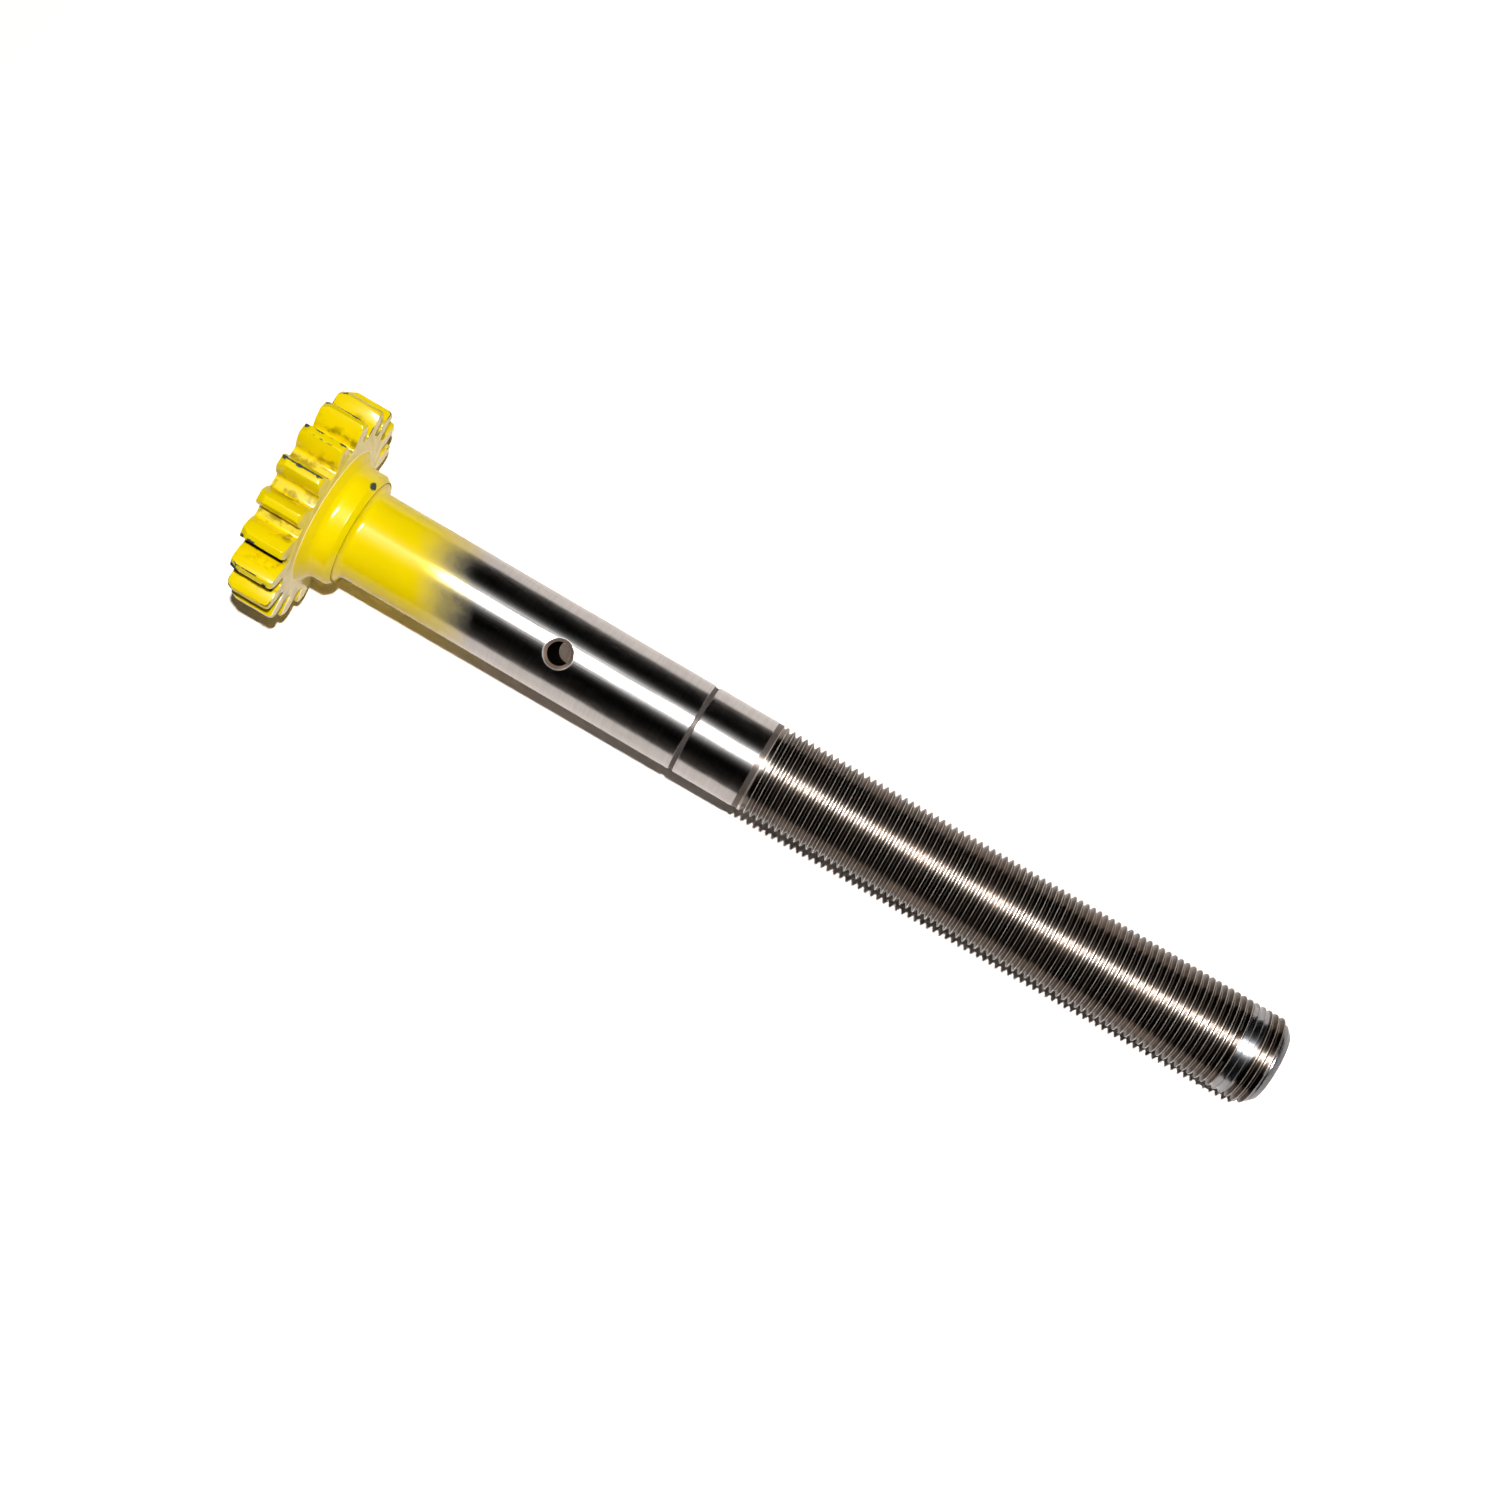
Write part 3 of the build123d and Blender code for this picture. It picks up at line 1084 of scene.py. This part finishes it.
def painted_material(context, place, groups):
    """Gloss paint over ground steel, chipped on the teeth and fading along the shank."""
    scene = context.scene
    paint, steel, gear, shank = (
        scene.shaft_paint, scene.shaft_steel, scene.shaft_gear, scene.shaft_shank)
    material, tree, shader = new_material("painted_and_ground_steel")
    point, along, angle, radius, around = place_on_shaft(tree, place, groups)
    wear = paint_wear(tree, point, gear, shank)
    cover = overspray(tree, point, along, angle, paint)
    stain = noise(tree, point, 38.0, 4.0, 0.6)

    cloudy = smooth_step(tree, stain, 0.42, 0.72)
    fine = smooth_step(tree, fine_lines(tree, groups, around, 900.0), 0.35, 0.65)
    depth = math_node(tree, "SUBTRACT", shank.diameter / 2 - 0.15 * MM, radius)
    in_groove = smooth_step(tree, depth, 0.0, 0.2 * MM)
    ground = blend_colours(tree, times(tree, cloudy, 0.35), steel.ground, CLOUDY_STEEL)
    ground = blend_colours(tree, times(tree, fine, 0.22), ground, LINED_STEEL)
    ground = blend_colours(tree, times(tree, in_groove, 0.9), ground, GROOVE_FILM)

    shade = smooth_step(tree, noise(tree, point, 22.0, 3.0, 0.5), 0.35, 0.75)
    gap_shadow, floor, gap_shade, inner = gear_painted_light(tree, point, along, angle, radius, gear)
    rim = collar_rim_shade_mask(tree, along, radius, shank)
    # Painted highlight: the rounded edges on the gear's lower side are coloured pale cream
    downward = smooth_step(tree, angle, math.radians(-68), math.radians(-71))
    edge_highlight = times(tree, face_mark(tree, "worn_and_highlit_edge"), downward)
    yellow = blend_colours(tree, times(tree, shade, 0.3), paint.colour, SHADED_PAINT)
    # Over the paint: painted reflection on the gap floors and the inner face, painted shade in the
    # gaps and at the collar's rim, chips, a painted highlight on the lower edges, and painted
    # shadow in the lower gaps
    for share, colour in (
            (times(tree, floor, 0.18), GAP_FLOOR_REFLECTION), (times(tree, gap_shade, 0.7), PATCHY_GAP_SHADE),
            (inner, INNER_FACE_REFLECTION), (times(tree, rim, 0.8), RIM_SHADE_LINE), (wear, paint.worn),
            (edge_highlight, EDGE_HIGHLIGHT), (gap_shadow, PAINTED_GAP_SHADOW)):
        yellow = blend_colours(tree, share, yellow, colour)

    inside, flared, mouth_highlight = cross_hole_masks(tree, point, shank)
    flare = blend_colours(tree, smooth_step(tree, stain, 0.4, 0.6), *HOLE_FLARE)
    colour = blend_colours(tree, math_node(tree, "POWER", cover, 0.7), ground, yellow)
    # Painted highlight round the mouths, and painted shade, near black, inside the bore
    for share, there in ((mouth_highlight, HOLE_MOUTH_HIGHLIGHT), (flared, flare), (inside, HOLE_BORE_SHADE)):
        colour = blend_colours(tree, share, colour, there)

    dull = either(tree, wear, either(tree, gap_shadow, rim))
    coat = blend_values(tree, inner, paint_coat(tree, along, angle, gear, shank), 1.0)
    coat = times(tree, cover, math_node(tree, "SUBTRACT", 1.0, dull), coat)

    metal = math_node(tree, "SUBTRACT", 1.0, cover)
    for share, loss in ((mouth_highlight, -0.5), (in_groove, -0.4), (flared, -0.45)):
        metal = scale_and_add(tree, share, loss, metal)
    metal = math_node(tree, "SUBTRACT", metal, inside, clamp=True)

    rough = blend_values(tree, fine_lines(tree, groups, around, 130.0), 0.26, 0.31)
    rough = blend_values(tree, cover, rough, 0.45)
    rough = blend_values(tree, either(tree, flared, in_groove), rough, 0.6)
    bump = add_node(tree, "ShaderNodeBump", {
        "Height": surface_waves(tree, point, cover, wear),
        "Strength": 0.25, "Distance": 0.12 * MM})
    feed(tree, shader, {
        "Base Color": colour, "Metallic": metal, "Roughness": rough, "Coat Weight": coat,
        "Coat Roughness": 0.12, "Normal": bump.outputs["Normal"]})
    grain_tangent(tree, shader, 1.0)
    return material


def soft_normal(tree, point, place, share):
    """The surface's normal, turned in part towards the way out from the axis.

    The flanks are polished round by nuts, so the lamp's strip runs across them too.
    """
    outward = vector_math(tree, "NORMALIZE", vector_math(tree, "MULTIPLY", point, (0, 1, 1)))
    laid = add_node(
        tree, "ShaderNodeMapping", {"Vector": outward, "Rotation": (0, place[2], 0)},
        vector_type="VECTOR")
    in_world = add_node(
        tree, "ShaderNodeVectorTransform", {"Vector": laid.outputs[0]},
        vector_type="NORMAL", convert_from="OBJECT", convert_to="WORLD")
    surface = add_node(tree, "ShaderNodeNewGeometry").outputs["Normal"]
    mixed = add_node(
        tree, "ShaderNodeMix", {0: share, 4: surface, 5: in_world.outputs[0]},
        data_type="VECTOR")
    return vector_math(tree, "NORMALIZE", mixed.outputs[1])


def flank_colour(tree, stain, along, under, steel, thread):
    """Old oil on the flanks, with painted light near the thread's start and painted shade, near
    black, on the lower side.
    """
    near_start = smooth_step(tree, along, thread.start + 8 * MM, thread.start + 3 * MM)
    flank = blend_colours(tree, smooth_step(tree, stain, 0.4, 0.7), steel.oil, OILY_FLANK)
    # Painted light: the flanks are coloured lighter near the thread's start
    flank = blend_colours(tree, times(tree, near_start, 0.6), flank, START_FLANK_PAINTED_LIGHT)
    return blend_colours(tree, times(tree, under, 0.9), flank, SHADED_FLANK)


def crest_colour(tree, stain, streaks, share, steel):
    """Crests in bright steel with brown stains, and a pale painted highlight on the lower side."""
    bright = blend_colours(tree, smooth_step(tree, stain, 0.35, 0.7), steel.turned, OILY_CREST)
    bright = blend_colours(tree, times(tree, streaks, 0.3), bright, STREAKED_CREST)
    return blend_colours(tree, share, bright, LIT_CREST)


def thread_material(context, place, groups):
    """Turned steel with old oil in the roots and bright crests."""
    steel, thread = context.scene.shaft_steel, context.scene.shaft_thread
    material, tree, shader = new_material("threaded_steel")
    point, along, angle, radius, around = place_on_shaft(tree, place, groups)
    lines = fine_lines(tree, groups, around, 1100.0)
    stain = noise(tree, point, 55.0, 4.0, 0.62)
    top = thread.diameter / 2

    band_start, band_end = filled_band(thread)
    worn = times(
        tree, smooth_step(tree, along, band_start, band_start + MM),
        smooth_step(tree, along, band_end + MM, band_end))
    cone_start = thread.end - thread.chamfer
    cone = smooth_step(tree, along, cone_start, cone_start + 0.3 * MM)
    neck = smooth_step(tree, along, thread.start + 2.6 * MM, thread.start + 2.4 * MM)
    crest = smooth_step(tree, radius, top - 0.3 * MM, top - 0.1 * MM)
    worn = times(tree, worn, scale_and_add(tree, crest, -0.6, 1.0))
    smooth = either(tree, worn, cone)
    flat = times(tree, face_mark(tree, "thread_flat"), blend_values(tree, crest, 0.35, 1.0))
    streaks = smooth_step(tree, lines, 0.35, 0.65)
    # Painted light on the lower side: near-black flanks as painted shade, pale crests as a painted
    # highlight
    under = smooth_step(tree, angle, math.radians(-60), math.radians(-68))

    colour = blend_colours(
        tree, flat, flank_colour(tree, stain, along, under, steel, thread),
        crest_colour(tree, stain, streaks, times(tree, under, crest), steel))
    rubbed = blend_colours(tree, times(tree, streaks, 0.3), *RUBBED_BAND)
    rubbed = blend_colours(tree, cone, rubbed, END_CHAMFER)
    colour = blend_colours(tree, smooth, colour, rubbed)
    colour = blend_colours(tree, neck, colour, THREAD_NECK)

    matte = times(tree, flat, math_node(tree, "SUBTRACT", 1.0, smooth))
    matte = either(tree, matte, neck)
    rough = blend_values(tree, matte, blend_values(tree, stain, 0.24, 0.32), 0.36)
    turned = soft_normal(tree, point, place, blend_values(tree, cone, 0.8, 0.0))
    bump = add_node(tree, "ShaderNodeBump", {
        "Height": lines, "Strength": 0.25, "Distance": 0.03 * MM, "Normal": turned})
    feed(tree, shader, {
        "Base Color": colour, "Metallic": scale_and_add(tree, matte, -0.45, 1.0),
        "Roughness": rough, "Normal": bump.outputs["Normal"]})
    grain_tangent(tree, shader, 0.8)
    return material


# Stage

WHITE = (1, 1, 1, 1)
DARK_ROOM = (0.02, 0.02, 0.02)

# The sheet on the table, as the steel mirrors it: its far and near edges across the shaft
SHEET_FAR, SHEET_NEAR = 0.27, -0.9


def floor_material(context):
    """A white table: it takes the shaft's shadow and goes on in plain white far off."""
    material, tree, shader = new_material("white_table")
    output = next(node for node in tree.nodes if node.type == "OUTPUT_MATERIAL")
    tree.nodes.remove(shader)
    light_path = add_node(tree, "ShaderNodeLightPath")
    seen = either(
        tree, light_path.outputs["Is Camera Ray"], light_path.outputs["Is Transmission Ray"])
    coordinates = add_node(tree, "ShaderNodeTexCoord").outputs["Object"]
    paper = tuple(context.scene.shaft_studio.table_colour)
    across = add_node(tree, "ShaderNodeSeparateXYZ", {0: coordinates}).outputs[1]
    off_sheet = either(
        tree, smooth_step(tree, across, SHEET_FAR, SHEET_FAR + 0.02),
        smooth_step(tree, across, SHEET_NEAR, SHEET_NEAR - 0.2))
    reflected = blend_colours(tree, off_sheet, paper, DARK_ROOM)
    colour = blend_colours(tree, seen, reflected, tuple(1.5 * part for part in paper))
    table = add_node(tree, "ShaderNodeBsdfDiffuse", {"Color": colour})
    white = add_node(tree, "ShaderNodeEmission", {"Color": WHITE, "Strength": 1.0})
    away = vector_math(tree, "LENGTH", coordinates)
    far = times(tree, smooth_step(tree, away, 0.35, 0.8), seen)
    mix = add_node(tree, "ShaderNodeMixShader", {0: far, 1: table.outputs[0], 2: white.outputs[0]})
    tree.links.new(mix.outputs[0], output.inputs["Surface"])
    return material


def make_floor(context):
    """The table top under the shaft."""
    setup = context.scene.shaft_studio
    deselect_all()
    bpy.ops.mesh.primitive_circle_add(
        vertices=96, radius=setup.floor_size / 2, fill_type="NGON", location=(0, 0, 0))
    floor = bpy.context.object
    floor.name = "table_top"
    floor.data.materials.append(floor_material(context))


def make_room(context):
    """The dark room over the table, with the soft glow of its lamp, for the gloss only."""
    setup = context.scene.shaft_studio
    deselect_all()
    bpy.ops.mesh.primitive_uv_sphere_add(
        segments=48, ring_count=24, radius=setup.floor_size / 2, location=(0, 0, 0))
    room = bpy.context.object
    room.name = "dark_room"
    select_faces(room, lambda face: face.calc_center_median().z < 0)
    bpy.ops.mesh.delete(type="FACE")
    bpy.ops.mesh.select_all(action="SELECT")
    bpy.ops.mesh.flip_normals()
    leave_edit()
    material, tree, shader = new_material("dark_wall")
    lean = lamp_spot(setup, setup.gloss_lean)
    point = add_node(tree, "ShaderNodeTexCoord").outputs["Object"]
    facing = vector_math(
        tree, "DOT_PRODUCT", vector_math(tree, "NORMALIZE", point), lean.normalized())
    off_lamp = math_node(tree, "ARCCOSINE", facing)
    share = math_node(tree, "POWER", math_node(tree, "DIVIDE", off_lamp, setup.glow_spread), 2.0)
    glow = math_node(tree, "EXPONENT", times(tree, share, -0.5))
    glow = times(tree, glow, setup.ceiling_glow)
    feed(tree, shader, {
        "Emission Strength": glow, "Emission Color": WHITE, "Base Color": (*DARK_ROOM, 1),
        "Roughness": 1.0, "Specular IOR Level": 0.0})
    room.data.materials.append(material)
    room.visible_camera = False
    room.visible_diffuse = False
    room.visible_shadow = False


def make_world(context):
    """White where the camera or a clear or shiny thing looks, and dim elsewhere."""
    setup = context.scene.shaft_studio
    world = context.scene.world or bpy.data.worlds.new("World")
    context.scene.world = world
    world.use_nodes = True
    tree = world.node_tree
    background = next(node for node in tree.nodes if node.type == "BACKGROUND")
    light_path = add_node(tree, "ShaderNodeLightPath")
    seen = either(tree, light_path.outputs["Is Camera Ray"], light_path.outputs["Is Glossy Ray"])
    seen = either(tree, seen, light_path.outputs["Is Transmission Ray"])
    feed(tree, background, {
        "Color": WHITE, "Strength": blend_values(tree, seen, setup.ambient, 1.0)})


def lamp_spot(setup, lean):
    """Where a lamp hangs that leans so far off the upright, to the shaft's far side."""
    return Vector((setup.lamp_place, setup.lamp_height * math.tan(lean), setup.lamp_height))


def add_lamp(name, place, length, width, level):
    """An oval lamp that looks at the table; a level of 1 lights white paper white."""
    deselect_all()
    bpy.ops.object.light_add(type="AREA", location=place)
    lamp = bpy.context.object
    lamp.name = name
    lamp.data.shape = "ELLIPSE"
    lamp.data.size = length
    lamp.data.size_y = width
    lamp.data.energy = level * math.pi ** 2 * place.length_squared
    lamp.rotation_euler = place.to_track_quat("Z", "Y").to_euler()
    return lamp


def make_lamps(context):
    """A small lamp lights the shaft, and a broad one beside it makes the highlights."""
    setup = context.scene.shaft_studio
    light = add_lamp(
        "high_lamp", lamp_spot(setup, setup.lamp_lean), setup.lamp_size, setup.lamp_size,
        setup.lamp_level)
    light.visible_glossy = False
    gloss = add_lamp(
        "gloss_lamp", lamp_spot(setup, setup.gloss_lean), *setup.gloss_size, setup.gloss_level)
    gloss.visible_diffuse = False


def make_camera(context):
    """The camera over the table, turned so that the shaft runs down to the right."""
    setup = context.scene.shaft_studio
    deselect_all()
    bpy.ops.object.camera_add(location=setup.camera_place, rotation=setup.camera_turn)
    camera = bpy.context.object
    camera.data.lens = setup.lens
    camera.data.sensor_width = 36.0
    camera.data.clip_start = 0.01
    context.scene.camera = camera


class SHAFT_OT_stage(bpy.types.Operator):
    """Set up the table, the dark room, the lamps and the camera"""

    bl_idname = "gear_shaft.stage"
    bl_label = "Set Up Stage"

    def execute(self, context):
        make_floor(context)
        make_room(context)
        make_world(context)
        make_lamps(context)
        make_camera(context)
        context.scene.view_settings.view_transform = "Standard"
        return {"FINISHED"}


class SHAFT_OT_body(bpy.types.Operator):
    """Turn the shaft and cut its gear and its cross hole"""

    bl_idname = "gear_shaft.body"
    bl_label = "Make Shaft and Gear"

    def execute(self, context):
        scene = context.scene
        gear, shank, thread = scene.shaft_gear, scene.shaft_shank, scene.shaft_thread
        profile = (
            centre_hole_profile() + gear_profile(gear)
            + collar_profile(gear, shank) + shank_profile(shank, thread))
        body = turn_profile(PIECE, profile, RING_STEPS)
        cut_away(body, make_gap_cutter(gear))
        merge_flat_faces(body, gear)
        soften_gear_edges(body, gear)
        cut_away(body, make_hole_cutter(shank))
        return {"FINISHED"}


class SHAFT_OT_thread(bpy.types.Operator):
    """Cut the thread and join it to the shaft"""

    bl_idname = "gear_shaft.thread"
    bl_label = "Make Thread"

    def execute(self, context):
        thread = context.scene.shaft_thread
        turns = make_thread(thread)
        shape_thread(turns, thread)
        trim_thread(turns, thread)
        close_free_end(turns, thread)
        join_land_to_thread(bpy.data.objects[PIECE], turns, thread)
        return {"FINISHED"}


class SHAFT_OT_finish(bpy.types.Operator):
    """Lay the shaft down in its place and give it its finishes"""

    bl_idname = "gear_shaft.finish"
    bl_label = "Lay Down and Paint"

    def execute(self, context):
        scene = context.scene
        body = bpy.data.objects[PIECE]
        unroll(body)
        mark_thread_flats(body, scene.shaft_thread)
        start = scene.shaft_thread.start
        on_thread = [face.center.x > start for face in body.data.polygons]
        place = lay_down(body, scene.shaft_gear, scene.shaft_thread)
        bpy.ops.object.shade_smooth_by_angle(angle=SMOOTH_ANGLE)
        groups = {"space": shaft_space_group(), "lines": fine_lines_group()}
        body.data.materials.append(painted_material(context, place, groups))
        body.data.materials.append(thread_material(context, place, groups))
        body.data.polygons.foreach_set("material_index", [int(one) for one in on_thread])
        body.data.update()
        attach(body, "root")
        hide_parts(NODE)
        return {"FINISHED"}


class SHAFT_PT_panel(bpy.types.Panel):
    """The steps and sizes of the gear shaft"""

    bl_idname = "SHAFT_PT_panel"
    bl_label = "Gear Shaft"
    bl_space_type = "VIEW_3D"
    bl_region_type = "UI"
    bl_category = "Gear Shaft"

    def draw(self, context):
        for operator in OPERATORS:
            self.layout.operator(operator.bl_idname)
        for name, group in GROUPS.items():
            box = self.layout.box()
            box.label(text=group.__doc__)
            settings = getattr(context.scene, name)
            for field in group.__annotations__:
                box.prop(settings, field)


OPERATORS = (SHAFT_OT_body, SHAFT_OT_thread, SHAFT_OT_finish, SHAFT_OT_stage)
GROUPS = {
    "shaft_gear": GearSizes,
    "shaft_shank": ShankSizes,
    "shaft_thread": ThreadSizes,
    "shaft_paint": PaintLook,
    "shaft_steel": SteelLook,
    "shaft_studio": StudioSetup,
}


def register():
    for group in GROUPS.values():
        bpy.utils.register_class(group)
    for name, group in GROUPS.items():
        setattr(bpy.types.Scene, name, bpy.props.PointerProperty(type=group))
    for operator in OPERATORS:
        bpy.utils.register_class(operator)
    bpy.utils.register_class(SHAFT_PT_panel)


def unregister():
    bpy.utils.unregister_class(SHAFT_PT_panel)
    for operator in reversed(OPERATORS):
        bpy.utils.unregister_class(operator)
    for name in GROUPS:
        delattr(bpy.types.Scene, name)
    for group in reversed(GROUPS.values()):
        bpy.utils.unregister_class(group)


def main():
    register()
    bpy.ops.gear_shaft.body()
    bpy.ops.gear_shaft.thread()
    bpy.ops.gear_shaft.finish()
    bpy.ops.gear_shaft.stage()


if __name__ == "__main__":
    main()
